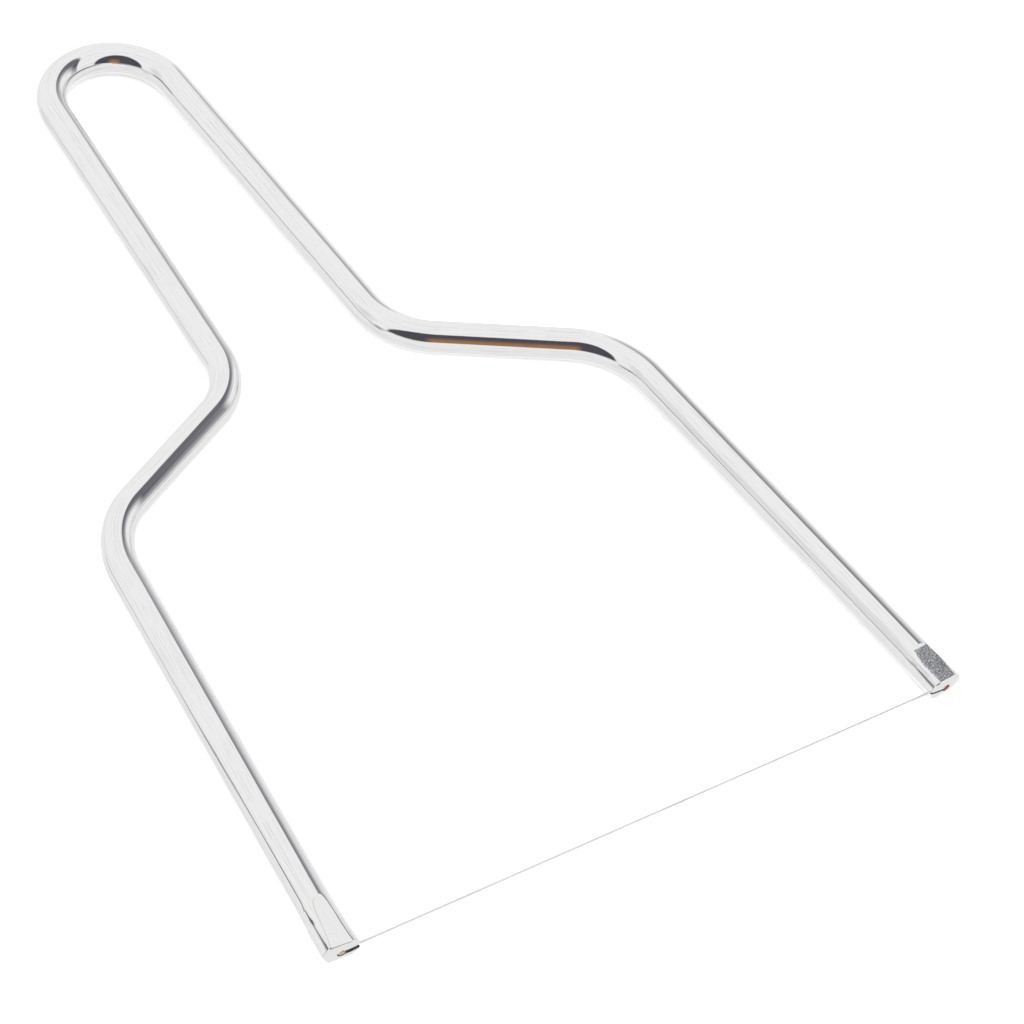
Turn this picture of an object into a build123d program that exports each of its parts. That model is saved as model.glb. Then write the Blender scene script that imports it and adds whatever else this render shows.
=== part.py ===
from build123d import *
import os
from math import cos, radians, sin, tan

# Cheese wire cutter: one round bar bent into a keyhole-shaped bow, a cutting wire stretched
# between the bow's two ends, and a small metal nipple on each end of the wire, gripped inside
# the pressed bar end.
#
# Millimetres. The bow lies flat: +Y runs from the wire to the hand loop, +X to the right and
# +Z up. The origin is at the middle of the underside of the whole cutter.

# ---- the bar and its bends, along its centre line ----
bar_diameter = 6.0
overall_length = 201.5      # middle of the two end faces to the outside of the hand loop
tip_span = 123.0            # between the middles of the two end faces
loop_radius = 12.5          # the hand loop
leg_splay = 2.8             # degrees that each leg of the handle opens, towards the wire
leg_length = 66.5           # straight part of each handle leg
neck_radius = 14.0          # where a leg turns out into its shoulder
shoulder_angle = 62.0       # degrees between the long axis and a shoulder
shoulder_radius = 17.5      # where a shoulder turns down into its arm
arm_splay = 4.6             # degrees that each arm opens, towards the wire

# ---- the pressed ends of the bar ----
spread_length = 10.0        # the bar spreads out over this length before each end face
spread_gain = 1.4           # how much wider than the bar the end face is
spread_loss = 0.9           # how much lower than the bar it is, before its flats are pressed
flat_length = 9.0           # each flat, measured back from the end face
flat_start_depth = 0.4      # from the bar's top down to the flat, where the flat starts
flat_end_depth = 0.75       # the same at the end face
end_chamfer = 0.25

# ---- the seat of the wire in each end ----
bore_diameter = 1.5
bore_depth = 4.5
kerf_width = 0.9            # the saw cut that lets the wire in from the side
kerf_depth = 1.8
wire_inset = 0.5            # end face to the middle of the wire

# ---- the wire and its nipples ----
wire_diameter = 0.45
nipple_length = 3.2
nipple_inset = 0.1          # end face to the near end of the nipple
nipple_clearance = 0.05     # all round, in the bore
wire_grip = 0.4             # the wire's reach past the middle of the nipple
wire_clearance = 0.02       # all round, in the nipple's cross hole

# ---- worked out from the sizes above ----
bar_radius = bar_diameter / 2
nipple_diameter = bore_diameter - 2 * nipple_clearance
end_width = bar_diameter + spread_gain
corner_drop = end_width / 2 * sin(radians(arm_splay))    # an end face's outer corner
middle_y = (overall_length - corner_drop) / 2            # end face middles to the middle
tip = Vector(tip_span / 2, -middle_y, bar_radius)
loop_middle = Vector(0, overall_length - middle_y - bar_radius - loop_radius, bar_radius)


def heading(degrees):
    """The way along the right half of the bar, towards its end, at an angle to the long axis."""
    return Vector(sin(radians(degrees)), -cos(radians(degrees)), 0)


def outward(way):
    """The direction square to a way in the plane of the bow, on its outer side."""
    return Vector(-way.Y, way.X, 0)


def shoulder_and_arm():
    """Lengths of the two straight runs that bring the right half of the bar to its end face."""
    leg, shoulder, arm = heading(leg_splay), heading(shoulder_angle), heading(arm_splay)
    neck_start = loop_middle + outward(leg) * loop_radius + leg * leg_length
    neck_bend = (outward(leg) - outward(shoulder)) * neck_radius
    shoulder_bend = (outward(arm) - outward(shoulder)) * shoulder_radius
    rest = tip - neck_start - neck_bend - shoulder_bend
    turn = shoulder.X * arm.Y - shoulder.Y * arm.X
    shoulder_run = (rest.X * arm.Y - rest.Y * arm.X) / turn
    arm_run = (shoulder.X * rest.Y - shoulder.Y * rest.X) / turn
    return shoulder_run, arm_run


def bar_centre_line():
    """Straight runs and the bends between them, from one spread end to the other."""
    shoulder_run, whole_arm = shoulder_and_arm()
    arm_run = whole_arm - spread_length
    at_shoulder = (shoulder_radius, arm_splay - shoulder_angle)
    at_neck = (neck_radius, shoulder_angle - leg_splay)
    at_loop = (loop_radius, 2 * leg_splay - 180)
    way = heading(180 - arm_splay)
    place = Vector(-tip.X, tip.Y, tip.Z) + way * spread_length
    runs = [arm_run, shoulder_run, leg_length, leg_length, shoulder_run, arm_run]
    bends = [at_shoulder, at_neck, at_loop, at_neck, at_shoulder]
    line = [Line(place, place + way * runs[0])]
    for run, (radius, angle) in zip(runs[1:], bends):
        line.append(JernArc(line[-1] @ 1, line[-1] % 1, radius, angle))
        line.append(Line(line[-1] @ 1, line[-1] @ 1 + (line[-1] % 1) * run))
    return Wire([piece.edge() for piece in line])


def end_place():
    """The right end face: +X back into the bar, +Y towards the wire, +Z up."""
    return Plane(origin=tip, x_dir=-heading(arm_splay), z_dir=(0, 0, 1))


def flat_die():
    """What the press takes off the top of an end, in the place that end_place gives."""
    slope = (flat_end_depth - flat_start_depth) / flat_length
    start = bar_radius - flat_start_depth
    past_end = bar_radius - flat_end_depth - slope
    outline = Polyline((-1, past_end), (flat_length, start), (flat_length, bar_diameter),
                       (-1, bar_diameter), close=True)
    return extrude(Plane.XZ * make_face(outline), end_width, both=True)


def pressed_end():
    """One end of the bar: spread sideways, pressed flat above and below, drilled and sawn."""
    round_face = Plane.YZ.offset(spread_length) * Circle(bar_radius)
    oval_face = Plane.YZ * Ellipse(end_width / 2, (bar_diameter - spread_loss) / 2)
    end = loft([oval_face, round_face], ruled=True)
    end -= flat_die()
    end -= mirror(flat_die(), Plane.XY)
    end = chamfer(end.faces().sort_by(Axis.X)[0].edges(), end_chamfer)
    end -= Plane.YZ * extrude(Circle(bore_diameter / 2), bore_depth)
    end -= Pos(kerf_depth / 2, end_width / 2, 0) * Box(kerf_depth, end_width, kerf_width)
    return end_place() * end


def frame_rod():
    """The bent bar with a pressed end on each arm."""
    path = bar_centre_line()
    bar = sweep(Plane(path @ 0, z_dir=path % 0) * Circle(bar_radius), path)
    right = pressed_end()
    return bar + right + mirror(right, Plane.YZ)


def wire_axis_end():
    """Where the middle of the wire meets the middle of the right nipple."""
    return tip + Vector(-wire_inset * tan(radians(arm_splay)), wire_inset, 0)


def wire_of(radius):
    """A straight round wire of one radius, from nipple to nipple."""
    end = wire_axis_end() + Vector(wire_grip, 0, 0)
    return extrude(Plane(end, z_dir=(-1, 0, 0)) * Circle(radius), 2 * end.X)


def wire_nipple():
    """The right-hand nipple: a short barrel with a blind cross hole for the wire."""
    barrel = Plane.YZ.offset(nipple_inset) * extrude(Circle(nipple_diameter / 2), nipple_length)
    return end_place() * barrel - wire_of(wire_diameter / 2 + wire_clearance)


os.makedirs("parts", exist_ok=True)
right_nipple = wire_nipple()
export_step(frame_rod(), "parts/frame_rod.step")
export_step(wire_of(wire_diameter / 2), "parts/cutting_wire.step")
export_step(right_nipple, "parts/wire_nipple_right.step")
export_step(mirror(right_nipple, Plane.YZ), "parts/wire_nipple_left.step")
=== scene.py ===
"""A cheese wire cutter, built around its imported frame.

One chromed bar is bent into a flat bow with a hand loop at its top. A thin steel wire is strung
across the bar's two pressed ends, and each end grips a small copper alloy nipple on the wire.

Lengths are in metres, angles in degrees. The bow lies flat: +Y runs from the wire to the hand
loop, +X to the right and +Z up.
"""

import logging
import math
from collections.abc import Callable, Mapping, Sequence
from dataclasses import dataclass, field
from enum import Enum
from typing import Any, Union

import bmesh
import bpy
import numpy as np
from mathutils import Matrix, Vector


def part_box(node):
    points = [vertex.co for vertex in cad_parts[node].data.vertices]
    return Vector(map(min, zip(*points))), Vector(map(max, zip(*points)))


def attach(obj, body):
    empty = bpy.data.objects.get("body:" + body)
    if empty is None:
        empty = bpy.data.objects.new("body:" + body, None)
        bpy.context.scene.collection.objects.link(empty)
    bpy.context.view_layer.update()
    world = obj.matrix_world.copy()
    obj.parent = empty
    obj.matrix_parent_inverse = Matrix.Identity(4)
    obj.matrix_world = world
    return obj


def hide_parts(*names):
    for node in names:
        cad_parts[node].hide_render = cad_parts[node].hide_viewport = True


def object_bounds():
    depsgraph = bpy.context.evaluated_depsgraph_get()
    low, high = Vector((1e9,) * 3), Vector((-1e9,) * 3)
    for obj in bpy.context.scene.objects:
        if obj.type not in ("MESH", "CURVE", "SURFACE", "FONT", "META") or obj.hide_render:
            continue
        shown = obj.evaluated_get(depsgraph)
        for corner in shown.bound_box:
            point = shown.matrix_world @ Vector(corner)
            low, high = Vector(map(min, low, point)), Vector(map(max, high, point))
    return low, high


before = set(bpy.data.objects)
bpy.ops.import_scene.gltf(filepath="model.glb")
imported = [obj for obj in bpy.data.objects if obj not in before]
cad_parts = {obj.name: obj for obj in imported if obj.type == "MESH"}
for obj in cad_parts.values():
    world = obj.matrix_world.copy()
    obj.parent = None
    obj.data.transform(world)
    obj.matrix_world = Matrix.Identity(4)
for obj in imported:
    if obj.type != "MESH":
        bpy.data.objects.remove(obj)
CAD_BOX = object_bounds()
ROD_LOW, ROD_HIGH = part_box("frame_rod")
WIRE_LOW, WIRE_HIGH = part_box("cutting_wire")
BAR_RADIUS = (ROD_HIGH.z - ROD_LOW.z) / 2
LOG = logging.getLogger("wire_cutter")
MM = 0.001
STRAIGHT_PLACE = "straight_place"  # each point's place on the bar as if it were unbent, in mm
PRESSED = "pressed"  # how far inside a flat's outline each point is, in mm


# ---- node trees

Number = Union[int, float]
Term = Union["Value", Number]


class NodeSheet:
    """A node tree that is being filled in."""

    def __init__(self, tree: bpy.types.NodeTree) -> None:
        """Empties the tree.

        Args:
            tree: the node tree of a material or a world.
        """
        tree.nodes.clear()
        self.tree = tree

    def add(self, kind: str, settings: Mapping[str, Any] | None = None,
            sockets: Mapping[Any, Any] | None = None) -> bpy.types.Node:
        """Adds one node.

        Args:
            kind: the node's type.
            settings: the node's own properties, set before its sockets.
            sockets: a number, a colour or a Value for each named or numbered input.

        Returns:
            The new node.
        """
        node = self.tree.nodes.new(kind)
        for name, setting in (settings or {}).items():
            setattr(node, name, setting)
        for name, given in (sockets or {}).items():
            if isinstance(given, Value):
                self.tree.links.new(given.socket, node.inputs[name])
            else:
                node.inputs[name].default_value = given
        return node

    def out(self, node: bpy.types.Node, name: str | int = 0) -> "Value":
        """One output of a node, ready for maths."""
        return Value(self, node.outputs[name])

    def attribute(self, name: str, output: str) -> "Value":
        """What the mesh stores under a name, read from one of the node's outputs."""
        return self.out(self.add("ShaderNodeAttribute", {"attribute_name": name}), output)

    def mix_colour(self, share: Term, first: Any, second: Any) -> "Value":
        """A blend of two colours.

        Args:
            share: how much of the second colour is taken, 0 to 1.
            first: a colour, or a Value that holds one.
            second: a colour, or a Value that holds one.

        Returns:
            The blended colour.
        """
        node = self.add("ShaderNodeMix", {"data_type": "RGBA", "blend_type": "MIX"},
                        {0: share, 6: first, 7: second})
        return self.out(node, 2)

    def place(self, kind: str) -> "Value":
        """The place or direction that is shaded, of one of the Texture Coordinate node's kinds."""
        return self.out(self.add("ShaderNodeTexCoord"), kind)

    def parts(self, vector: "Value") -> tuple["Value", "Value", "Value"]:
        """The x, y and z of a vector."""
        node = self.add("ShaderNodeSeparateXYZ", {}, {0: vector})
        return self.out(node, 0), self.out(node, 1), self.out(node, 2)


def arithmetic(operation: str, reflected: bool = False) -> Callable[["Value", Term], "Value"]:
    """A method of Value that adds a Math node.

    Args:
        operation: the node's operation.
        reflected: whether the other term comes first.

    Returns:
        The method.
    """
    def method(self: "Value", other: Term) -> "Value":
        """The result of the operation on the two."""
        return self._maths(operation, *((other, self) if reflected else (self, other)))
    return method


class Value:
    """One socket of a node tree. Arithmetic on it adds Math nodes."""

    __add__ = arithmetic("ADD")
    __radd__ = arithmetic("ADD", reflected=True)
    __sub__ = arithmetic("SUBTRACT")
    __rsub__ = arithmetic("SUBTRACT", reflected=True)
    __mul__ = arithmetic("MULTIPLY")
    __rmul__ = arithmetic("MULTIPLY", reflected=True)
    __truediv__ = arithmetic("DIVIDE")
    __rtruediv__ = arithmetic("DIVIDE", reflected=True)
    __pow__ = arithmetic("POWER")
    least = arithmetic("MINIMUM")  # the smaller of the two
    most = arithmetic("MAXIMUM")  # the larger of the two

    def __init__(self, sheet: NodeSheet, socket: bpy.types.NodeSocket) -> None:
        """Keeps the socket and the sheet that it is on."""
        self.sheet = sheet
        self.socket = socket

    def _maths(self, operation: str, *terms: Term) -> "Value":
        """The result of a new Math node with these inputs."""
        node = self.sheet.add("ShaderNodeMath", {"operation": operation}, dict(enumerate(terms)))
        return self.sheet.out(node)

    def __abs__(self) -> "Value":
        """abs(self)"""
        return self._maths("ABSOLUTE", self)

    def arc_sine(self) -> "Value":
        """The angle with this sine, in degrees."""
        return self._maths("ARCSINE", self) * math.degrees(1.0)

    def sine(self) -> "Value":
        """The sine, of an angle in radians."""
        return self._maths("SINE", self)

    def heading(self, x: "Value") -> "Value":
        """The angle of (x, self) from the x axis, in degrees."""
        return self._maths("ARCTAN2", self, x) * math.degrees(1.0)

    def step(self, low: Term, high: Term) -> "Value":
        """A smooth step from 0 at low to 1 at high, or from 1 to 0 if high is less.

        Args:
            low: where the step is 0.
            high: where the step is 1.

        Returns:
            The step.
        """
        node = self.sheet.add("ShaderNodeMapRange", {"interpolation_type": "SMOOTHSTEP"},
                              {"Value": self, "From Min": low, "From Max": high})
        return self.sheet.out(node)


# ---- finishes


@dataclass(frozen=True)
class Grain:
    """A kind of noise: how many lumps it has to a unit along each axis, and how rough it is."""

    scale: tuple
    detail: float = 3.0
    roughness: float = 0.6

    def over(self, sheet: NodeSheet, place: Value) -> Value:
        """The noise at each place, 0 to 1.

        Args:
            sheet: the material's nodes.
            place: where it is read.

        Returns:
            The noise.
        """
        stretched = sheet.add("ShaderNodeVectorMath", {"operation": "MULTIPLY"},
                              {0: place, 1: self.scale})
        noise = sheet.add("ShaderNodeTexNoise", {},
                          {"Vector": sheet.out(stretched), "Scale": 1.0, "Detail": self.detail,
                           "Roughness": self.roughness})
        return sheet.out(noise, "Fac")


def even_grain(scale: float, detail: float = 3.0, roughness: float = 0.6) -> Grain:
    """A grain that is the same along every axis."""
    return Grain((scale, scale, scale), detail, roughness)


def new_material(name: str) -> tuple[bpy.types.Material, NodeSheet]:
    """An empty node material and the sheet for its nodes.

    Args:
        name: its name.

    Returns:
        The material, and the sheet.
    """
    material = bpy.data.materials.new(name)
    material.use_nodes = True
    return material, NodeSheet(material.node_tree)


def dress_metal(sheet: NodeSheet, colour: Value, roughness: Value, height: Value,
                relief: float) -> None:
    """Ends a metal's nodes in a shader.

    Args:
        sheet: the material's nodes.
        colour: the metal's colour.
        roughness: how blurred its reflections are.
        height: the bump's height.
        relief: what a height of 1 stands for, in metres.
    """
    bump = sheet.add("ShaderNodeBump", {}, {"Strength": 1.0, "Distance": relief, "Height": height})
    shader = sheet.add("ShaderNodeBsdfPrincipled", {},
                       {"Base Color": colour, "Roughness": roughness, "Metallic": 1.0,
                        "Normal": sheet.out(bump)})
    sheet.add("ShaderNodeOutputMaterial", {}, {"Surface": sheet.out(shader)})


@dataclass(frozen=True)
class ChromePlate:
    """Bright chrome over a drawn steel bar.

    Fine lines of drawing and use run along it, and the pressed flats at its ends have the matt
    grain of the die. The right flat is painted darker than the left, as painted shade for the
    darker studio that it reflects. Grains are to a millimetre. A pair is where a smooth step is 0
    and where it is 1.
    """

    bright: tuple = (0.885, 0.885, 0.89, 1.0)
    dulled: tuple = (0.60, 0.595, 0.59, 1.0)
    tarnish: tuple = (0.70, 0.58, 0.50, 1.0)
    drawn: Grain = Grain((0.03, 4.2, 4.2))
    fine: Grain = Grain((0.20, 11.0, 11.0), 2.0)
    wear: Grain = even_grain(0.14)
    line_edge: tuple = (0.52, 0.70)
    worn_edge: tuple = (0.36, 0.60)
    nick_edge: tuple = (0.50, 0.72)
    line_share: float = 0.50
    nick_share: float = 0.40
    polish: float = 0.04  # roughness of clean plate
    line_blur: float = 0.16  # added roughness in a line
    wear_blur: float = 0.02
    drawn_height: float = 0.7  # share of the relief that the drawn lines have
    relief: float = 0.0000012
    flat_edge: tuple = (-0.01, 0.03)  # mm inside a flat's outline
    stain_middle: float = -0.06  # mm inside a flat's outline
    stain_width: tuple = (0.14, 0.02)
    stain_side: tuple = (0.2, 0.8)  # mm towards the outer side of the bow
    stain_run: tuple = (20.0, 12.0)  # mm of the bar, from its left end
    stain_most: float = 0.8
    die: Grain = even_grain(3.6, 4.0, 0.75)
    die_worn: tuple = (0.97, 0.97, 0.98, 1.0)
    # the grain's hollows are painted dark, partly as shade and partly as the darker studio that
    # the right flat reflects
    shaded_die_hollow: tuple = (0.22, 0.23, 0.25, 1.0)
    unshaded_flat: tuple = (0.86, 0.86, 0.87, 1.0)  # the left flat's tone, without the painted shade
    hollow_shade_edge: tuple = (0.62, 0.40)
    shaded_flat_run: tuple = (150.0, 300.0)  # mm of the bar, beyond which the flat shows its grain and the painted shade for the darker studio it reflects
    least_grain_and_shade: float = 0.06  # how much of the grain and painted shade is left before that
    die_blur: float = 0.13
    hollow_blur: float = 0.12
    die_relief: float = 0.00002

    def material(self) -> bpy.types.Material:
        """The plated surface of the bar.

        Returns:
            The material.
        """
        material, sheet = new_material("bright_chrome")
        place = sheet.attribute(STRAIGHT_PLACE, "Vector")
        pressed = sheet.attribute(PRESSED, "Fac")
        drawn, fine = self.drawn.over(sheet, place), self.fine.over(sheet, place)
        wear = self.wear.over(sheet, place)
        lines = drawn.step(*self.line_edge) * wear.step(*self.worn_edge)
        nicks = fine.step(*self.nick_edge) * (0.4 + wear)
        marks = (lines * self.line_share + nicks * self.nick_share).least(1.0)
        run, out, _ = sheet.parts(place)
        rim = abs(pressed - self.stain_middle).step(*self.stain_width) * out.step(*self.stain_side)
        stain = (rim * run.step(*self.stain_run) * (0.4 + wear * 0.8)).least(self.stain_most)
        plate = sheet.mix_colour(marks, self.bright, self.dulled)
        plate = sheet.mix_colour(stain, plate, self.tarnish)
        # painted shade: the right flat is painted darker than the left for the darker studio it
        # reflects, and it shows its die grain
        grain_and_shade = run.step(*self.shaded_flat_run) * (1.0 - self.least_grain_and_shade) + self.least_grain_and_shade
        grain = self.die.over(sheet, place)
        hollow_shade = grain.step(*self.hollow_shade_edge)
        die = sheet.mix_colour(hollow_shade, self.die_worn, self.shaded_die_hollow)
        die = sheet.mix_colour(grain_and_shade, self.unshaded_flat, die)
        on_flat = pressed.step(*self.flat_edge)
        colour = sheet.mix_colour(on_flat, plate, die)
        plate_blur = self.polish + marks * self.line_blur + wear * self.wear_blur
        die_blur = self.die_blur + hollow_shade * self.hollow_blur * grain_and_shade
        roughness = plate_blur * (1 - on_flat) + die_blur * on_flat
        scores = (drawn * self.drawn_height + fine * (1 - self.drawn_height)) * self.relief
        height = scores * (1 - on_flat) + grain * self.die_relief * grain_and_shade * on_flat
        dress_metal(sheet, colour, roughness, height, 1.0)
        return material


@dataclass(frozen=True)
class PlainMetal:
    """A metal of two tones with a fine relief. Grains are to a metre."""

    name: str
    first: tuple
    second: tuple
    tone: Grain
    tone_edge: tuple
    scores: Grain
    polish: float
    tone_blur: float  # added roughness in the second tone
    relief: float

    def material(self) -> bpy.types.Material:
        """The metal's surface.

        Returns:
            The material.
        """
        material, sheet = new_material(self.name)
        place = sheet.place("Object")
        tone = self.tone.over(sheet, place)
        colour = sheet.mix_colour(tone.step(*self.tone_edge), self.first, self.second)
        dress_metal(sheet, colour, tone * self.tone_blur + self.polish,
                    self.scores.over(sheet, place), self.relief)
        return material


SAWN_STEEL = PlainMetal("sawn_steel", (0.42, 0.41, 0.40, 1.0), (0.08, 0.075, 0.07, 1.0),
                        even_grain(1800.0), (0.35, 0.65), Grain((900.0, 9000.0, 9000.0)),
                        0.35, 0.25, 0.00001)


class AlloyState(Enum):
    """A nipple's colours: its metal's colour, then its tarnish. The pale set is a painted
    highlight.
    """

    TARNISHED = ((0.64, 0.12, 0.045, 1.0), (0.30, 0.03, 0.012, 1.0))
    # pale: a painted highlight for the white glint on the left nipple
    PAINTED_HIGHLIGHT = ((0.84, 0.72, 0.58, 1.0), (0.38, 0.25, 0.16, 1.0))


def copper_alloy(state: AlloyState) -> PlainMetal:
    """The soft alloy of the nipples, with tool rings and tarnish.

    Args:
        state: its colours, of which the pale set is a painted highlight.

    Returns:
        Its finish.
    """
    return PlainMetal(f"copper_alloy_{state.name.lower()}", *state.value, even_grain(2600.0),
                      (0.38, 0.62), Grain((2000.0, 16000.0, 2000.0), 2.0, 0.5),
                      0.28, 0.2, 0.000006)


@dataclass(frozen=True)
class DrawnWire:
    """Bright spring steel with the fine lines that the drawing die leaves, to a metre."""

    bright: tuple = (0.80, 0.80, 0.81, 1.0)
    dull: tuple = (0.52, 0.52, 0.53, 1.0)
    lines: Grain = Grain((180.0, 14000.0, 14000.0))
    bands: Grain = Grain((90.0, 300.0, 300.0))
    line_edge: tuple = (0.45, 0.70)
    band_edge: tuple = (0.5, 0.7)
    line_share: float = 0.6
    band_share: float = 0.3
    polish: float = 0.22
    line_blur: float = 0.12
    relief: float = 0.0000015

    def material(self) -> bpy.types.Material:
        """The surface of the cutting wire.

        Returns:
            The material.
        """
        material, sheet = new_material("drawn_steel_wire")
        place = sheet.place("Object")
        lines = self.lines.over(sheet, place)
        bands = self.bands.over(sheet, place).step(*self.band_edge)
        share = lines.step(*self.line_edge) * self.line_share + bands * self.band_share
        colour = sheet.mix_colour(share, self.bright, self.dull)
        dress_metal(sheet, colour, share * self.line_blur + self.polish, lines, self.relief)
        return material


@dataclass(frozen=True)
class WhitePaper:
    """The matt white paper that the cutter lies on."""

    white: tuple = (0.97, 0.97, 0.97, 1.0)
    fibre: tuple = (0.95, 0.95, 0.95, 1.0)
    fibres: Grain = even_grain(700.0)  # to a metre
    roughness: float = 0.6

    def material(self) -> bpy.types.Material:
        """The paper's surface.

        Returns:
            The material.
        """
        material, sheet = new_material("white_paper")
        place = sheet.place("Object")
        colour = sheet.mix_colour(self.fibres.over(sheet, place), self.white, self.fibre)
        shader = sheet.add("ShaderNodeBsdfDiffuse", {},
                           {"Color": colour, "Roughness": self.roughness})
        sheet.add("ShaderNodeOutputMaterial", {}, {"Surface": sheet.out(shader)})
        return material


# ---- the bent bar


@dataclass(frozen=True)
class Station:
    """One place along the middle of the bar."""

    point: Vector
    angle: float  # heading in the plane of the bow, in radians from +X
    run: float  # distance from the left end face

    @property
    def forward(self) -> Vector:
        """The way along the bar."""
        return Vector((math.cos(self.angle), math.sin(self.angle), 0.0))

    @property
    def outer(self) -> Vector:
        """The way square to the bar, towards the outside of the bow."""
        return Vector((-math.sin(self.angle), math.cos(self.angle), 0.0))

    def place(self, out: float, up: float) -> Vector:
        """The point that is so far towards the outer side of the bow, and up."""
        return self.point + self.outer * out + Vector((0.0, 0.0, up))


@dataclass(frozen=True)
class Bow:
    """The bar's middle line, from the left end face round the hand loop to the right one."""

    loop_radius: float = 12.5 * MM
    leg_splay: float = 2.8
    leg_length: float = 66.5 * MM
    neck_radius: float = 14.0 * MM
    shoulder_angle: float = 62.0
    shoulder_radius: float = 17.5 * MM
    arm_splay: float = 4.6
    wire_inset: float = 0.5 * MM  # end face to the middle of the wire
    wire_grip: float = 0.4 * MM  # the wire's reach past the middle of the bar
    bend_step: float = 1.5  # degrees of a bend between stations
    run_step: float = 5.0 * MM

    @property
    def tip(self) -> Vector:
        """The middle of the right end face, from the wire's place in the frame.

        Returns:
            The point.
        """
        lean = math.tan(math.radians(self.arm_splay))
        return Vector((WIRE_HIGH.x - self.wire_grip + self.wire_inset * lean,
                       (WIRE_LOW.y + WIRE_HIGH.y) / 2 - self.wire_inset,
                       (ROD_LOW.z + ROD_HIGH.z) / 2))

    @property
    def loop_middle(self) -> Vector:
        """The middle of the hand loop's bend."""
        return Vector((0.0, ROD_HIGH.y - BAR_RADIUS - self.loop_radius, self.tip.z))

    def straight_runs(self) -> tuple[float, float]:
        """Lengths of the straight parts of a shoulder and an arm.

        Returns:
            The shoulder's and the arm's length.
        """
        leg, shoulder, arm = (Vector((math.sin(math.radians(way)), -math.cos(math.radians(way))))
                              for way in (self.leg_splay, self.shoulder_angle, self.arm_splay))
        leg_out, shoulder_out, arm_out = (Vector((-way.y, way.x)) for way in (leg, shoulder, arm))
        neck_start = self.loop_middle.xy + leg_out * self.loop_radius + leg * self.leg_length
        bends = (leg_out - shoulder_out) * self.neck_radius
        bends = bends + (arm_out - shoulder_out) * self.shoulder_radius
        rest = self.tip.xy - neck_start - bends
        turn = shoulder.cross(arm)
        return rest.cross(arm) / turn, shoulder.cross(rest) / turn

    def pieces(self) -> list[tuple[float, float]]:
        """The bar's straight runs and bends in order, as (length or radius, degrees turned).

        Returns:
            The runs and bends.
        """
        shoulder_run, arm_run = self.straight_runs()
        neck = self.shoulder_angle - self.leg_splay
        shoulder = self.shoulder_angle - self.arm_splay
        half = [(arm_run, 0.0), (self.shoulder_radius, -shoulder), (shoulder_run, 0.0),
                (self.neck_radius, neck), (self.leg_length, 0.0)]
        loop = (self.loop_radius, -(180.0 - 2 * self.leg_splay))
        return half + [loop] + half[::-1]

    def stations(self, end_runs: Sequence[float]) -> list[Station]:
        """Places all along the bar.

        Args:
            end_runs: distances from each end face at which there is a station as well.

        Returns:
            The stations, from the left end face to the right one.
        """
        point = Vector((-self.tip.x, self.tip.y, self.tip.z))
        angle = math.radians(90.0 - self.arm_splay)
        found = [Station(point, angle, 0.0)]
        end_zone = max(end_runs)
        total = sum(size if turn == 0 else size * math.radians(abs(turn))
                    for size, turn in self.pieces())
        for size, turn in self.pieces():
            start = found[-1]
            if turn == 0:
                wanted = {size * step / math.ceil(size / self.run_step)
                          for step in range(1, math.ceil(size / self.run_step) + 1)}
                if start.run == 0.0:
                    wanted = {run for run in wanted if run > end_zone} | set(end_runs)
                elif abs(start.run + size - total) < MM / 100:
                    wanted = {run for run in wanted if run < size - end_zone}
                    wanted |= {size - run for run in end_runs} | {size}
                found += [Station(start.point + start.forward * run, start.angle, start.run + run)
                          for run in sorted(wanted)]
                continue
            side = math.copysign(1.0, turn)
            middle = start.point + start.outer * (size * side)
            steps = math.ceil(abs(turn) / self.bend_step)
            for step in range(1, steps + 1):
                angle = start.angle + math.radians(turn) * step / steps
                spoke = Vector((math.sin(angle), -math.cos(angle), 0.0)) * (size * side)
                run = start.run + size * math.radians(abs(turn)) * step / steps
                found.append(Station(middle + spoke, angle, run))
        return found


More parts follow.
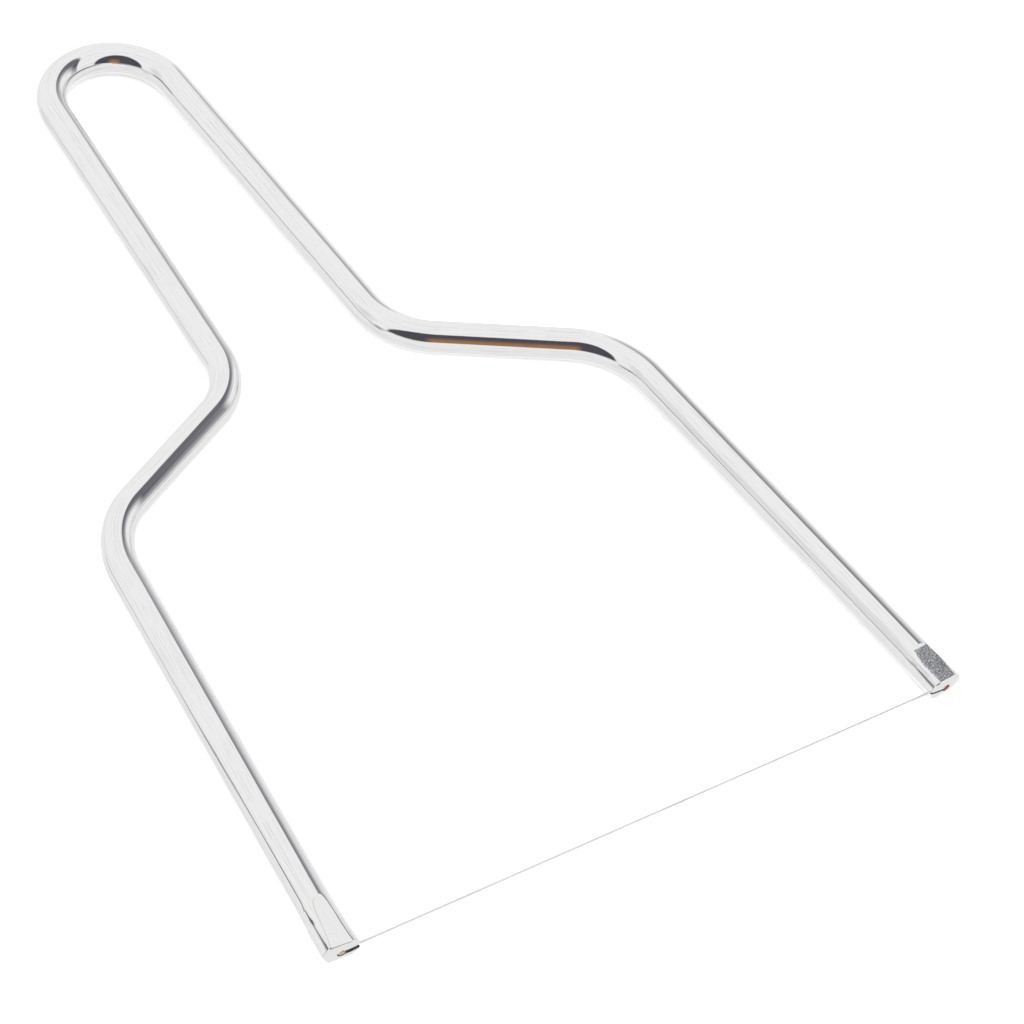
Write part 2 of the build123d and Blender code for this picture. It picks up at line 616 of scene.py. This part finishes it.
@dataclass(frozen=True)
class PressedEnd:
    """How one end of the bar is spread sideways, pressed flat above and below, and faced off."""

    flat_start: float  # from the end face back to the flat's far end
    start_height: float  # the flat's height over the bar's middle, at its start
    tip_height: float  # and at the end face
    cut_height: float  # of the saw cut
    cut_reach: float  # how far the cut goes past the bar's middle
    cut_depth: float  # how far it goes in from the end face
    spread_length: float = 10.0 * MM
    spread: float = 0.68 * MM  # how much the half width grows
    spread_curve: float = 1.5  # how late the growth comes: 1 is even
    squash: float = 0.45 * MM  # how much the half height shrinks
    squash_length: float = 9.0 * MM
    ramp: float = 0.6 * MM  # the slope where a flat starts
    dome: float = 0.28 * MM  # the end face's crown
    rim: float = 0.32 * MM  # the rounding round the end face
    rim_share: float = 0.4  # share of it that a flat stops short of the face
    facet_side: float = 1.0  # 1 if the sloping faces are on the outer side, or -1
    facet_angle: float = 25.9  # how far they lean from upright
    facet_depth: float = 0.42 * MM  # how deep they are pressed in at the end face
    facet_length: float = 8.5 * MM
    facet_fade: float = 0.25  # share of that length over which they begin
    facet_shift: float = 0.06  # how far up their crowns are, to the bar's radius
    facet_crown: float = 22.0 * MM  # radius of their slight crown
    ridge: float = 0.5 * MM  # rounding where the two of them meet
    facet_blend: float = 0.04 * MM  # rounding along their edges
    corner: float = 0.9 * MM  # rounding of a flat's outline where it starts
    crease: float = 0.025 * MM  # rounding along a flat's edges

    def section(self, run: float, turns: np.ndarray) -> np.ndarray:
        """The bar's outline at a distance from this end's face.

        Args:
            run: the distance.
            turns: angles round the bar, in radians from its outer side.

        Returns:
            One row for each angle: how far out, and how far up.
        """
        wide, high = self.half_sizes(run)
        out, up = wide * np.cos(turns), high * np.sin(turns)
        if run < self.facet_length:
            out, up = self.press_sides(run, out, up)
        if run < self.flat_start + self.ramp:
            up = np.sign(up) * self.soft_least(np.abs(up), self.flat_height(run), self.crease)
        return np.stack([out, up], axis=1)

    def press_sides(self, run: float, out: np.ndarray,
                    up: np.ndarray) -> tuple[np.ndarray, np.ndarray]:
        """Presses two narrow sloping faces into one side of an outline.

        Args:
            run: distance from the end face.
            out: how far out each point is.
            up: how far up each point is.

        Returns:
            The new distances out and up.
        """
        lean = math.radians(self.facet_angle)
        cosine, sine = math.cos(lean), math.sin(lean)
        side = out * self.facet_side
        level = np.sqrt(up * up + self.ridge * self.ridge)
        share = 1 - run / self.facet_length
        reach = side * cosine + level * sine
        slide = level * cosine - side * sine - BAR_RADIUS * self.facet_shift
        wide, high = self.half_sizes(run)
        limit = math.hypot(wide * cosine, high * sine) - self.facet_depth * share * share
        limit = limit - slide * slide / (2 * self.facet_crown)
        over = reach - self.soft_least(reach, limit, self.facet_blend)
        over = np.where(side > 0, over, 0.0) * min(1.0, share / self.facet_fade)
        return out - self.facet_side * over * cosine, up * (1 - over * sine / level)

    def flat_height(self, run: float) -> float:
        """How far over the bar's middle the flat or its ramp is, at a distance from the face.

        Args:
            run: the distance.

        Returns:
            The height.
        """
        if run <= self.flat_start:
            return self.tip_height + (self.start_height - self.tip_height) * run / self.flat_start
        share = (run - self.flat_start) / self.ramp
        return self.start_height + (BAR_RADIUS + 2 * self.crease - self.start_height) * share

    def half_sizes(self, run: float) -> tuple[float, float]:
        """The outline's half width and half height before the die's faces, at a distance.

        Args:
            run: the distance from the end face.

        Returns:
            The half width and the half height.
        """
        spread = max(0.0, 1 - run / self.spread_length) ** self.spread_curve
        squash = max(0.0, 1 - run / self.squash_length)
        squash = squash * squash * (3 - 2 * squash)
        return BAR_RADIUS + self.spread * spread, BAR_RADIUS - self.squash * squash

    def inside_flat(self, run: float, out: float) -> float:
        """How far inside a flat's outline a point is.

        Args:
            run: its distance from the end face.
            out: how far it is from the bar's middle, sideways.

        Returns:
            The distance, which is less than 0 outside.
        """
        wide, high = self.half_sizes(run)
        height = min(self.flat_height(run) / high, 1.0)
        edge = wide * math.sqrt(1 - height * height) - abs(out)
        start = self.flat_start - run
        shortfall = math.hypot(max(self.corner - edge, 0.0), max(self.corner - start, 0.0))
        return min(self.corner - shortfall, run - self.dome - self.rim * self.rim_share)

    @staticmethod
    def soft_least(values: np.ndarray, limit: np.ndarray | float,
                   softness: float) -> np.ndarray:
        """The smaller of each value and a limit, rounded where they meet.

        Args:
            values: the numbers to hold back.
            limit: the most that each may be.
            softness: the rounding's size.

        Returns:
            The numbers held back.
        """
        gap = np.clip(0.5 + (values - limit) / (4 * softness), 0.0, 1.0)
        return np.where(values < limit, values, limit) - 2 * softness * gap * (1 - gap)


def stand(name: str, mesh: bpy.types.Mesh) -> bpy.types.Object:
    """A new object in the scene with this mesh.

    Args:
        name: its name.
        mesh: its mesh.

    Returns:
        The object.
    """
    piece = bpy.data.objects.new(name, mesh)
    bpy.context.scene.collection.objects.link(piece)
    return piece


def ringed_mesh(name: str, rings: Sequence[Sequence[Vector]]) -> bpy.types.Mesh:
    """A closed, smooth shaded mesh through rings of points.

    Args:
        name: the mesh's name.
        rings: rings with the same number of points. The first and the last are closed flat.

    Returns:
        The mesh.
    """
    shape = bmesh.new()
    corners = [[shape.verts.new(point) for point in ring] for ring in rings]
    for low, high in zip(corners, corners[1:]):
        for index in range(len(low)):
            shape.faces.new([low[index - 1], high[index - 1], high[index], low[index]])
    shape.faces.new(corners[0])
    shape.faces.new(corners[-1][::-1])
    bmesh.ops.recalc_face_normals(shape, faces=shape.faces)
    mesh = bpy.data.meshes.new(name)
    shape.to_mesh(mesh)
    shape.free()
    mesh.polygons.foreach_set("use_smooth", [True] * len(mesh.polygons))
    return mesh


@dataclass(frozen=True)
class EndFace:
    """One end of the bar: the middle of its face, and the pressed end behind it."""

    station: Station
    end: PressedEnd
    inward: float  # 1 if the station's heading runs into the bar, or -1

    def place(self, run: float, out: float, up: float) -> Vector:
        """The point that is so far into the bar, out towards the bow's outer side, and up."""
        return self.station.place(out, up) + self.station.forward * (self.inward * run)

    def measure(self, point: Vector) -> tuple[float, float, float]:
        """How far a point is into the bar, out and up.

        Args:
            point: the point.

        Returns:
            The three distances.
        """
        offset = point - self.station.point
        run = offset.dot(self.station.forward) * self.inward
        return run, offset.dot(self.station.outer), offset.z


@dataclass
class BentBar:
    """The bow: a swept bar with two pressed ends, each bored and sawn for the wire."""

    bow: Bow
    left: PressedEnd = PressedEnd(flat_start=9.6 * MM, start_height=2.84 * MM,
                                  tip_height=2.08 * MM, cut_height=1.0 * MM,
                                  cut_reach=0.35 * MM, cut_depth=1.3 * MM, facet_angle=33.5)
    right: PressedEnd = PressedEnd(flat_start=8.0 * MM, start_height=2.54 * MM,
                                   tip_height=2.20 * MM, cut_height=0.50 * MM,
                                   cut_reach=0.1 * MM, cut_depth=0.78 * MM, facet_side=-1.0,
                                   corner=1.6 * MM, squash_length=5.5 * MM)
    flat_cells: int = 28  # round the bar, across the widest flat
    side_cells: int = 44  # round the bar, on each side
    flat_reach: float = 42.0  # degrees from upright that the fine cells cover
    end_zone: float = 12.0 * MM  # of closer rings, from each end face
    end_step: float = 0.16 * MM
    ramp_rings: int = 17  # across the ramp of each flat and a little past it
    ramp_reach: float = 0.3  # how much past it, as a share of the ramp
    rim_rings: int = 8
    rim_turn: float = 78.0  # degrees that the rim rolls over before the dome
    face_rings: int = 12
    face_shares: tuple = (0.94, 0.04)  # of the rim, from the outermost ring to the innermost
    bore_radius: float = 0.75 * MM
    bore_depth: float = 4.5 * MM
    bore_cells: int = 48
    cut_cells: int = 12  # round the cut's back
    cut_mouth: float = 6.0 * MM  # how far the saw stands out of the inner side
    overshoot: float = 1.0 * MM  # how far the tools stand out of an end face
    sharp_angle: float = 38.0  # an edge that turns further than this is shaded sharp
    slice_size: int = 4000  # points that are matched to stations at a time
    name: str = "bent_bar"

    def turns(self) -> np.ndarray:
        """Angles round the bar, closer together over and under it where the flats are.

        Returns:
            The angles, in radians.
        """
        reach = math.radians(self.flat_reach)
        quarter = math.pi / 2
        side = np.linspace(-quarter + reach, quarter - reach, self.side_cells, endpoint=False)
        flat = np.linspace(quarter - reach, quarter + reach, self.flat_cells, endpoint=False)
        half = np.concatenate([side, flat])
        return np.concatenate([half, half + math.pi])

    def end_runs(self) -> list[float]:
        """Distances from an end face that get a ring, closer together at the flats' starts.

        Returns:
            The distances.
        """
        runs = {round(step * self.end_step, 6)
                for step in range(4, round(self.end_zone / self.end_step))}
        for end in (self.left, self.right):
            runs |= {round(end.flat_start + share * end.ramp, 6)
                     for share in np.linspace(-self.ramp_reach, 1 + self.ramp_reach,
                                              self.ramp_rings)}
        return sorted(runs)

    def rings(self, stations: Sequence[Station],
              ends: Sequence[EndFace]) -> list[list[Vector]]:
        """The rings of the bar's outside, from the middle of one end face to the other.

        Args:
            stations: the places along the bar.
            ends: its left and right end faces.

        Returns:
            The rings.
        """
        total = stations[-1].run
        turns = self.turns()
        found = []
        for station in stations[1:-1]:
            end, run = self.left, station.run
            if run >= total / 2:
                end, run = self.right, total - run
            found.append([station.place(out, up) for out, up in end.section(run, turns)])
        left, right = (self.end_rings(face, turns) for face in ends)
        return left[::-1] + found + right

    def end_rings(self, face: EndFace, turns: np.ndarray) -> list[list[Vector]]:
        """The rings that round the rim over and cross the domed end face.

        Args:
            face: the end face.
            turns: angles round the bar.

        Returns:
            The rings, from the rim to the middle.
        """
        end = face.end
        outline = end.section(end.dome + end.rim, turns)
        length = np.linalg.norm(outline, axis=1, keepdims=True)
        levels = []
        for angle in np.radians(np.linspace(0.0, self.rim_turn, self.rim_rings)):
            inset = end.rim * (1 - math.cos(angle))
            run = end.dome + end.rim * (1 - math.sin(angle))
            levels.append((outline * (1 - inset / length), run))
        rim_outline, rim_run = levels[-1]
        for share in np.linspace(*self.face_shares, self.face_rings):
            levels.append((rim_outline * share, rim_run * share ** 2))
        return [[face.place(run, out, up) for out, up in level] for level, run in levels]

    def saw_outline(self, end: PressedEnd) -> list[tuple[float, float]]:
        """The saw cut seen from the end, open at the inner side, as (out, up).

        Args:
            end: this end's sizes.

        Returns:
            Its corners.
        """
        half = end.cut_height / 2
        back = [(end.cut_reach + half * math.sin(turn), half * math.cos(turn))
                for turn in np.linspace(0.0, math.pi, self.cut_cells + 1)]
        return [(-self.cut_mouth, half)] + back + [(-self.cut_mouth, -half)]

    def bore_outline(self) -> list[tuple[float, float]]:
        """The bore seen from the end, as (out, up)."""
        return [(self.bore_radius * math.cos(turn), self.bore_radius * math.sin(turn))
                for turn in np.linspace(0.0, 2 * math.pi, self.bore_cells, endpoint=False)]

    def tool(self, face: EndFace, outline: Sequence[tuple[float, float]],
             depth: float) -> bpy.types.Object:
        """A straight-sided solid that stands in an end face, to be taken out of the bar.

        Args:
            face: the end face.
            outline: the solid's corners, as (out, up).
            depth: how far in it goes.

        Returns:
            The solid.
        """
        rings = [[face.place(run, out, up) for out, up in outline]
                 for run in (-self.overshoot, depth)]
        return stand("tool", ringed_mesh("tool", rings))

    def build(self, plate: ChromePlate, sawn: PlainMetal) -> bpy.types.Object:
        """Builds and dresses the bar.

        Args:
            plate: the finish of the bar.
            sawn: the finish inside its cuts.

        Returns:
            The bar.
        """
        stations = self.bow.stations(self.end_runs())
        ends = (EndFace(stations[0], self.left, 1.0), EndFace(stations[-1], self.right, -1.0))
        bar = stand(self.name, ringed_mesh(self.name, self.rings(stations, ends)))
        inside = sawn.material()
        for material in (plate.material(), inside):
            bar.data.materials.append(material)
        for face in ends:
            self.take_out(bar, self.tool(face, self.bore_outline(), self.bore_depth), inside)
            cut = self.tool(face, self.saw_outline(face.end), face.end.cut_depth)
            self.take_out(bar, cut, inside)
        bar.data.polygons.foreach_set("use_smooth", [True] * len(bar.data.polygons))
        self.mark_flats(bar.data, ends)
        self.unbend(bar.data, stations)
        bar.data.set_sharp_from_angle(angle=math.radians(self.sharp_angle))
        return bar

    @staticmethod
    def take_out(bar: bpy.types.Object, tool: bpy.types.Object,
                 inside: bpy.types.Material) -> None:
        """Cuts a tool's shape out of the bar.

        Args:
            bar: the bar.
            tool: the shape to take out, which is deleted afterwards.
            inside: the material of the new surface.
        """
        tool.data.materials.append(inside)
        cut = bar.modifiers.new("cut", "BOOLEAN")
        cut.operation = "DIFFERENCE"
        cut.solver = "EXACT"
        cut.material_mode = "TRANSFER"
        cut.object = tool
        bpy.context.view_layer.update()
        whole = bar.evaluated_get(bpy.context.evaluated_depsgraph_get())
        mesh = bpy.data.meshes.new_from_object(whole)
        bar.modifiers.clear()
        bar.data = mesh
        bpy.data.objects.remove(tool)

    def mark_flats(self, mesh: bpy.types.Mesh, ends: Sequence[EndFace]) -> None:
        """Stores how far inside a flat's outline each point is, in millimetres.

        Args:
            mesh: the bar's mesh.
            ends: its two end faces.
        """
        depths = np.full(len(mesh.vertices), -1.0, dtype=np.float32)
        for index, vertex in enumerate(mesh.vertices):
            for face in ends:
                run, out, up = face.measure(vertex.co)
                if run < face.end.flat_start + face.end.ramp and abs(up) > BAR_RADIUS / 2:
                    depths[index] = face.end.inside_flat(run, out) / MM
        layer = mesh.attributes.new(PRESSED, "FLOAT", "POINT")
        layer.data.foreach_set("value", depths)

    def unbend(self, mesh: bpy.types.Mesh, stations: Sequence[Station]) -> None:
        """Stores where each point would be if the bar were straight, in millimetres.

        Args:
            mesh: the bar's mesh.
            stations: the places along the bar.
        """
        middles, forwards, outers = (np.array([getattr(station, name) for station in stations])
                                     for name in ("point", "forward", "outer"))
        runs = np.array([station.run for station in stations])
        points = np.empty(len(mesh.vertices) * 3)
        mesh.vertices.foreach_get("co", points)
        points = points.reshape(-1, 3)
        places = np.empty_like(points)
        for start in range(0, len(points), self.slice_size):
            some = points[start:start + self.slice_size]
            near = np.linalg.norm(some[:, None, :] - middles[None], axis=2).argmin(axis=1)
            offset = some - middles[near]
            run = runs[near] + (offset * forwards[near]).sum(axis=1)
            out = (offset * outers[near]).sum(axis=1)
            places[start:start + self.slice_size] = np.stack([run, out, offset[:, 2]], axis=1)
        layer = mesh.attributes.new(STRAIGHT_PLACE, "FLOAT_VECTOR", "POINT")
        layer.data.foreach_set("vector", (places / MM).astype(np.float32).ravel())


# ---- the wire and its nipples


def rounded_end(radius: float, rounding: float, corners: int = 6) -> list[tuple[float, float]]:
    """The rounding of a rod's end, from its face on, as (distance along, radius)."""
    return [(rounding * (1 - math.sin(angle)), radius - rounding * (1 - math.cos(angle)))
            for angle in np.radians(np.linspace(90.0, 0.0, corners))]


def turned_mesh(name: str, profile: Sequence[tuple[float, float]], axis_start: Vector,
                axis: Vector, cells: int, sharp_angle: float = 35.0) -> bpy.types.Mesh:
    """A solid of revolution with closed ends.

    Args:
        name: the mesh's name.
        profile: (distance along the axis, radius) from one end to the other.
        axis_start: where the distance is 0.
        axis: the way along the axis, of length 1.
        cells: how many faces there are round it.
        sharp_angle: an edge that turns further than this is shaded sharp.

    Returns:
        The mesh.
    """
    side = axis.orthogonal().normalized()
    other = axis.cross(side)
    turns = [2 * math.pi * cell / cells for cell in range(cells)]
    rings = [[axis_start + axis * along + side * (radius * math.cos(turn))
              + other * (radius * math.sin(turn)) for turn in turns] for along, radius in profile]
    mesh = ringed_mesh(name, rings)
    mesh.set_sharp_from_angle(angle=math.radians(sharp_angle))
    return mesh


@dataclass
class CuttingWire:
    """The straight steel wire, rounded over at its two cut ends."""

    cells: int = 32
    lengths: int = 60
    end_rounding: float = 0.08 * MM
    name: str = "strung_wire"

    def build(self, finish: DrawnWire) -> bpy.types.Object:
        """Builds and dresses the wire where the frame has it.

        Args:
            finish: the wire's finish.

        Returns:
            The wire.
        """
        middle = (WIRE_LOW + WIRE_HIGH) / 2
        radius = (WIRE_HIGH.z - WIRE_LOW.z) / 2
        length = WIRE_HIGH.x - WIRE_LOW.x
        near = rounded_end(radius, self.end_rounding)
        between = [(length * step / self.lengths, radius) for step in range(1, self.lengths)]
        far = [(length - along, wide) for along, wide in near[::-1]]
        mesh = turned_mesh(self.name, near + between + far,
                           Vector((WIRE_LOW.x, middle.y, middle.z)), Vector((1, 0, 0)), self.cells)
        mesh.materials.append(finish.material())
        return stand(self.name, mesh)


@dataclass
class Nipple:
    """The small turned nipple that holds one end of the wire."""

    node: str
    finish: PlainMetal
    arm_splay: float
    cells: int = 48
    edge: float = 0.14 * MM  # rounding of its two ends
    dimple: float = 0.12 * MM  # depth of the punched hollow in its end
    dimple_share: float = 0.45  # the hollow's width, as a share of the nipple's
    dimple_floor: float = 0.05  # width of the hollow's flat floor, as a share of its own
    dimple_rings: int = 6

    def build(self) -> bpy.types.Object:
        """Builds and dresses the nipple where the frame has it.

        Returns:
            The nipple.
        """
        low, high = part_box(self.node)
        middle = (low + high) / 2
        lean = math.radians(self.arm_splay)
        axis = Vector((-math.copysign(math.sin(lean), middle.x), math.cos(lean), 0.0))
        radius = (high.z - low.z) / 2
        length = ((high.y - low.y) - 2 * radius * math.sin(lean)) / math.cos(lean)
        hollow = [(self.dimple * (1 - share ** 2),
                   radius * self.dimple_share * max(share, self.dimple_floor))
                  for share in np.linspace(0.0, 1.0, self.dimple_rings)]
        near = rounded_end(radius, self.edge)
        far = [(length - along, wide) for along, wide in near[::-1]]
        name = f"turned_{self.node}"
        mesh = turned_mesh(name, hollow + near + far, middle - axis * (length / 2), axis,
                           self.cells)
        mesh.materials.append(self.finish.material())
        return stand(name, mesh)


# ---- studio


@dataclass(frozen=True)
class Direction:
    """The direction of a reflected ray, as values in the world's nodes."""

    x: Value
    y: Value
    elevation: Value

    def past(self, azimuth: float) -> Value:
        """How far round it is from an azimuth, from -180 to 180."""
        cosine, sine = math.cos(math.radians(azimuth)), math.sin(math.radians(azimuth))
        return (self.y * cosine - self.x * sine).heading(self.x * cosine + self.y * sine)


# In the next four classes a pair is where a smooth step is 0 and where it is 1. A mask is 0 where
# a direction shows none of the thing and 1 where it shows nothing else.


@dataclass(frozen=True)
class ArchedOpening:
    """The tall opening on the right: a dark band round a paler middle, and a grey sill."""

    azimuth: float = 8.0
    half_width: float = 36.5
    half_height: float = 58.5
    middle_widths: tuple = (30.0, 38.0)  # of the paler middle, past the azimuth and before it
    squareness: float = 3.0
    inner_edge: tuple = (0.40, 0.80)
    outer_edge: tuple = (1.03, 0.95)
    low_band: tuple = (-2.0, 16.0)
    low_strength: float = 0.46
    high_band: tuple = (12.0, 50.0)
    high_strength: float = 0.50
    near_side: tuple = (-14.0, -24.0)
    near_rise: tuple = (4.0, 14.0)
    near_strength: float = 0.2
    sill_middle: tuple = (-2.0, 7.0)  # past the azimuth, and up
    sill_width: tuple = (30.0, 16.0)
    sill_height: tuple = (6.0, 0.5)
    sill_strength: float = 0.24

    def mask(self, way: Direction) -> Value:
        """How dark the opening makes a direction, 0 to 1.

        Args:
            way: the direction.

        Returns:
            The darkness.
        """
        turned, up = way.past(self.azimuth), way.elevation
        power = self.squareness
        height = (abs(up) / self.half_height) ** power
        outer = ((abs(turned) / self.half_width) ** power + height) ** (1.0 / power)
        past, before = self.middle_widths
        across = (turned / past).most(turned / -before)
        inner = (across ** power + height) ** (1.0 / power)
        band = inner.step(*self.inner_edge) * outer.step(*self.outer_edge)
        strength = up.step(*self.low_band) * self.low_strength
        strength = strength + up.step(*self.high_band) * self.high_strength
        near = turned.step(*self.near_side) * up.step(*self.near_rise) * self.near_strength
        sill_turned, sill_up = self.sill_middle
        sill = abs(turned - sill_turned).step(*self.sill_width)
        sill = sill * abs(up - sill_up).step(*self.sill_height)
        return (band * (strength + near) + sill * self.sill_strength).least(1.0)


@dataclass(frozen=True)
class TableEdge:
    """The thin dark edge of the table on the left, which steps up at its near end."""

    azimuth: float = 160.0
    level: float = -16.0
    rise: float = 16.5
    rise_span: tuple = (-18.0, -13.0)
    dip: float = 2.0
    dip_span: tuple = (-10.0, 4.0)
    fall: float = 8.0
    fall_span: tuple = (2.0, 28.0)
    near_span: tuple = (-20.0, -13.0)
    fade: tuple = (2.6, 0.9)  # half the line's height
    near_fade: tuple = (2.0, 0.6)  # what the near end adds to it
    middle: float = -2.0
    half_width: tuple = (38.0, 30.0)
    strength: float = 0.5
    near_strength: float = 0.4

    def mask(self, way: Direction) -> Value:
        """How dark the edge makes a direction, 0 to 1.

        Args:
            way: the direction.

        Returns:
            The darkness.
        """
        turned = way.past(self.azimuth)
        level = turned.step(*self.rise_span) * self.rise + self.level
        level = level - turned.step(*self.dip_span) * self.dip
        level = level - turned.step(*self.fall_span) * self.fall
        near = turned.step(*self.near_span)
        low, high = (near * more + plain for plain, more in zip(self.fade, self.near_fade))
        line = abs(way.elevation - level).step(low, high)
        line = line * abs(turned - self.middle).step(*self.half_width)
        return line * (near * self.near_strength + self.strength)


@dataclass(frozen=True)
class WallFold:
    """A faint grey fold in the tent's left wall."""

    azimuth: float = 165.0
    elevation: float = 20.0
    half_width: float = 20.0
    half_height: float = 26.0
    edge: tuple = (1.0, -0.4)

    def mask(self, way: Direction) -> Value:
        """How grey the fold makes a direction, 0 to 1.

        Args:
            way: the direction.

        Returns:
            The greyness.
        """
        across = way.past(self.azimuth) / self.half_width
        up = (way.elevation - self.elevation) / self.half_height
        return (across * across + up * up).step(*self.edge)


@dataclass(frozen=True)
class FrontGap:
    """The dark gap at the front of the tent, with brown timber slats seen in it."""

    azimuth: float = 245.0
    half_width: float = 48.0
    half_height: float = 63.0
    squareness: float = 2.4
    edge: tuple = (1.04, 0.95)
    floor: tuple = (1.0, 7.0)
    timber_middle: float = 8.0
    timber_width: tuple = (15.0, 4.0)
    timber_height: tuple = (44.0, 14.0)
    slat_turns: tuple = (0.75, 0.9)  # radians to a degree, round and up
    slat_contrast: float = 0.28

    def mask(self, way: Direction) -> Value:
        """How much of the gap a direction shows, 0 to 1.

        Args:
            way: the direction.

        Returns:
            The share.
        """
        power = self.squareness
        ring = (abs(way.past(self.azimuth)) / self.half_width) ** power
        ring = (ring + (abs(way.elevation) / self.half_height) ** power) ** (1.0 / power)
        return ring.step(*self.edge) * way.elevation.step(*self.floor)

    def timber(self, way: Direction) -> Value:
        """How much of the gap's darkness is timber in a direction, 0 to 1.

        Args:
            way: the direction.

        Returns:
            The share.
        """
        turned = way.past(self.azimuth)
        timber = abs(turned - self.timber_middle).step(*self.timber_width)
        timber = timber * way.elevation.step(*self.timber_height)
        round_turn, up_turn = self.slat_turns
        slats = (turned * round_turn + way.elevation * up_turn).sine() * self.slat_contrast
        return timber * (slats + (1.0 - self.slat_contrast))


@dataclass(frozen=True)
class LightTent:
    """A white tent of light, with the openings and dark shapes that polished metal shows.

    Directions are an azimuth from +X towards +Y and an elevation, in degrees.
    """

    tent: float = 0.95  # brightness overhead
    underside: float = 0.90  # brightness from below
    sides: tuple = (-30.0, 10.0)  # elevations between which it changes
    corner: float = 1.05  # brightness of the lit corner below and to the right
    corner_azimuth: float = 58.0
    corner_width: tuple = (68.0, 40.0)
    corner_top: tuple = (-24.0, -48.0)
    paper_light: float = 2.20  # what lights the paper
    opening: tuple = (0.115, 0.115, 0.135, 1.0)
    edge_line: tuple = (0.03, 0.03, 0.035, 1.0)
    fold: tuple = (0.74, 0.74, 0.74, 1.0)
    gap: tuple = (0.075, 0.068, 0.085, 1.0)
    timber: tuple = (0.46, 0.235, 0.07, 1.0)

    def light(self) -> bpy.types.World:
        """Builds the tent as the scene's world.

        Returns:
            The world.
        """
        world = bpy.data.worlds.new("light_tent")
        world.use_nodes = True
        sheet = NodeSheet(world.node_tree)
        x, y, z = sheet.parts(sheet.place("Generated"))
        way = Direction(x, y, z.most(-1.0).least(1.0).arc_sine())
        seen = sheet.mix_colour(WallFold().mask(way), self.walls(sheet, way), self.fold)
        seen = sheet.mix_colour(ArchedOpening().mask(way), seen, self.opening)
        seen = sheet.mix_colour(TableEdge().mask(way), seen, self.edge_line)
        gap = FrontGap()
        dark = sheet.mix_colour(gap.timber(way), self.gap, self.timber)
        seen = sheet.mix_colour(gap.mask(way), seen, dark)
        ray = sheet.add("ShaderNodeLightPath")
        mirrored = sheet.add("ShaderNodeBackground", {}, {"Color": seen, "Strength": 1.0})
        plain = sheet.add("ShaderNodeBackground", {}, {"Color": (1.0, 1.0, 1.0, 1.0),
                                                       "Strength": self.paper_light})
        both = sheet.add("ShaderNodeMixShader", {}, {0: sheet.out(ray, "Is Glossy Ray"),
                                                     1: sheet.out(plain), 2: sheet.out(mirrored)})
        sheet.add("ShaderNodeOutputWorld", {}, {"Surface": sheet.out(both)})
        bpy.context.scene.world = world
        return world

    def walls(self, sheet: NodeSheet, way: Direction) -> Value:
        """The tent's plain white walls.

        Args:
            sheet: the world's nodes.
            way: the direction looked in.

        Returns:
            Their colour.
        """
        white = way.elevation.step(*self.sides) * (self.tent - self.underside) + self.underside
        lit = abs(way.past(self.corner_azimuth)).step(*self.corner_width)
        lit = lit * way.elevation.step(*self.corner_top)
        white = white + lit * (self.corner - self.underside)
        return sheet.out(sheet.add("ShaderNodeCombineColor", {}, {0: white, 1: white, 2: white}))


@dataclass(frozen=True)
class Tabletop:
    """The paper under the cutter."""

    width: float = 6.0

    def build(self, paper: WhitePaper) -> bpy.types.Object:
        """Lays the paper at the cutter's lowest point.

        Args:
            paper: its finish.

        Returns:
            The paper.
        """
        half = self.width / 2
        level = CAD_BOX[0][2]
        mesh = bpy.data.meshes.new("paper")
        mesh.from_pydata([(-half, -half, level), (half, -half, level), (half, half, level),
                          (-half, half, level)], [], [(0, 1, 2, 3)])
        mesh.materials.append(paper.material())
        floor = stand("paper", mesh)
        floor.visible_glossy = False
        return floor


@dataclass(frozen=True)
class CameraStand:
    """A long lens over the left of the cutter, looking down across it with the camera tilted."""

    place: tuple = (-0.27653, -0.34341, 0.47188)
    aim: tuple = (0.01355, -0.03425, 0.003)
    roll: float = 13.8785  # degrees that the camera is turned about its own line
    focal_length: float = 126.1  # mm
    sensor_width: float = 36.0  # mm
    nearest: float = 0.01  # what is closer than this isn't seen

    def build(self) -> bpy.types.Object:
        """Sets the camera up and makes it the scene's own.

        Returns:
            The camera.
        """
        lens = bpy.data.cameras.new("camera")
        lens.sensor_width = self.sensor_width
        lens.lens = self.focal_length
        lens.clip_start = self.nearest
        camera = bpy.data.objects.new("camera", lens)
        bpy.context.scene.collection.objects.link(camera)
        camera.location = self.place
        look = (Vector(self.aim) - Vector(self.place)).to_track_quat("-Z", "Y")
        turn = Matrix.Rotation(math.radians(self.roll), 4, "Z")
        camera.rotation_euler = (look.to_matrix().to_4x4() @ turn).to_euler()
        bpy.context.scene.camera = camera
        return camera


# ---- the whole cutter


@dataclass
class WireCutter:
    """The bar, the wire and its nipples, each standing for its node of the frame."""

    bow: Bow = field(default_factory=Bow)

    def settle(self, piece: bpy.types.Object, node: str) -> None:
        """Fixes a piece to the frame in place of its node.

        Args:
            piece: the finished piece.
            node: the node that it stands for.
        """
        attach(piece, "root")
        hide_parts(node)
        LOG.info("%s stands for %s, with %d faces", piece.name, node, len(piece.data.polygons))

    def build(self) -> None:
        """Builds every piece."""
        bar = BentBar(self.bow).build(ChromePlate(), SAWN_STEEL)
        self.settle(bar, "frame_rod")
        self.settle(CuttingWire().build(DrawnWire()), "cutting_wire")
        # the left nipple's pale colour is a painted highlight
        for node, state in (("wire_nipple_left", AlloyState.PAINTED_HIGHLIGHT),
                            ("wire_nipple_right", AlloyState.TARNISHED)):
            nipple = Nipple(node, copper_alloy(state), self.bow.arm_splay).build()
            self.settle(nipple, node)


def main() -> None:
    """Builds the cutter and the studio around it."""
    logging.basicConfig(level=logging.INFO, format="%(name)s: %(message)s")
    WireCutter().build()
    Tabletop().build(WhitePaper())
    LightTent().light()
    CameraStand().build()
    bpy.context.scene.view_settings.view_transform = "Standard"


if __name__ == "__main__":
    main()
